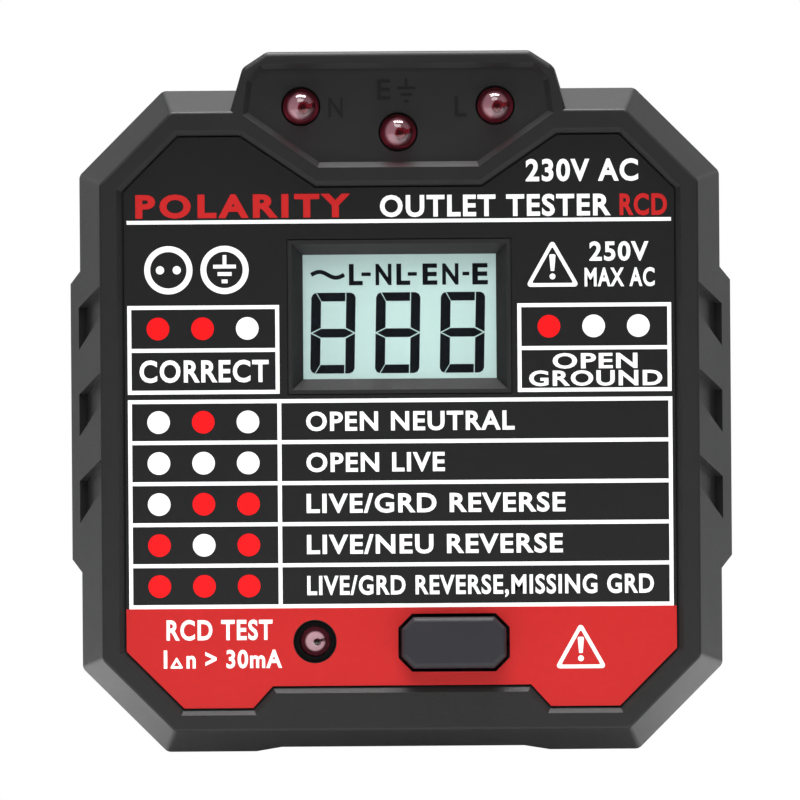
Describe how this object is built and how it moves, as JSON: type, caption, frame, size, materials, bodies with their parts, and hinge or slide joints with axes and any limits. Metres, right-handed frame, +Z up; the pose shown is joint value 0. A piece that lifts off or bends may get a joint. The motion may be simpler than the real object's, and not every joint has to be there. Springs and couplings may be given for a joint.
{
  "type": "outlet tester plug",
  "caption": "Octagonal plug-in outlet tester with indicator lamps, small digital display, printed fault chart and RCD test button, on a round earthed mains plug.",
  "frame": {"origin": "centre of the plug insert's pin face", "axes": "+Y into the wall outlet along the pins, +Z up with the indicator lamps at the top, +X to the right of a person facing the display"},
  "size_m": [0.0672, 0.0679, 0.071],
  "materials": {
    "case_plastic": "fine spark-eroded moulded texture, dark grey",
    "label_film": "smooth printed polyester film, black",
    "print_white": "screen-printed white ink",
    "print_red": "screen-printed red ink",
    "window_clear": "clear moulded window",
    "display_glass": "reflective liquid crystal cell, pale grey-green",
    "display_ink": "dark liquid crystal segments",
    "light_guide": "white diffusing light guide",
    "contact_rubber": "striped elastomer contact strip",
    "inner_plastic": "plain black moulding",
    "lamp_red": "tinted clear epoxy, dark red when off",
    "tinned_steel": "tinned",
    "button_plastic": "smooth moulded, slightly lighter than the case",
    "spring_steel": "drawn spring wire",
    "board_green": "solder mask over glass epoxy laminate",
    "chip_black": "moulded epoxy",
    "film_capacitor": "yellow box capacitor",
    "can_aluminium": "drawn can",
    "varistor_blue": "dipped epoxy",
    "fuse_ceramic": "ceramic tube",
    "resistor_ceramic": "ceramic power resistor",
    "wire_brown": "brown insulation",
    "wire_blue": "blue insulation",
    "wire_green": "green and yellow insulation",
    "plug_plastic": "smooth moulded, satin",
    "pin_nickel": "nickel-plated brass, turned",
    "contact_brass": "bright stamped brass",
    "screw_steel": "zinc plated"
  },
  "bodies": {
    "housing": {"front_cover": "case_plastic", "rear_cover": "case_plastic", "label_overlay": "label_film", "lcd_window": "window_clear", "lcd_glass": "display_glass", "lcd_backlight": "light_guide", "lcd_contact_strip": "contact_rubber", "lcd_holder": "inner_plastic", "led_neutral": "lamp_red", "led_earth": "lamp_red", "led_live": "lamp_red", "led_rcd": "lamp_red", "led_leads": "tinned_steel", "led_shroud": "inner_plastic", "switch_body": "inner_plastic", "button_spring": "spring_steel", "main_board": "board_green", "mcu_chip": "chip_black", "dropper_capacitor": "film_capacitor", "filter_capacitor": "can_aluminium", "varistor": "varistor_blue", "fuse": "fuse_ceramic", "bridge_rectifier": "chip_black", "load_resistors": "resistor_ceramic", "live_wire": "wire_brown", "neutral_wire": "wire_blue", "earth_wire": "wire_green", "plug_base": "plug_plastic", "live_pin": "pin_nickel", "neutral_pin": "pin_nickel", "earth_clip_top": "contact_brass", "earth_clip_bottom": "contact_brass", "earth_sleeve": "contact_brass", "earth_bridge": "contact_brass", "case_screws": "screw_steel", "board_screws": "screw_steel"},
    "button": {"rcd_button": "button_plastic", "switch_plunger": "inner_plastic"}
  },
  "joints": [
    {"name": "rcd_button_press", "type": "slide", "parent": "housing", "child": "button", "axis": [0, 1, 0], "range_m": [0, 0.0015], "stiffness_N_per_m": 600, "springref_m": -0.001, "deforming": ["button_spring"]}
  ]
}
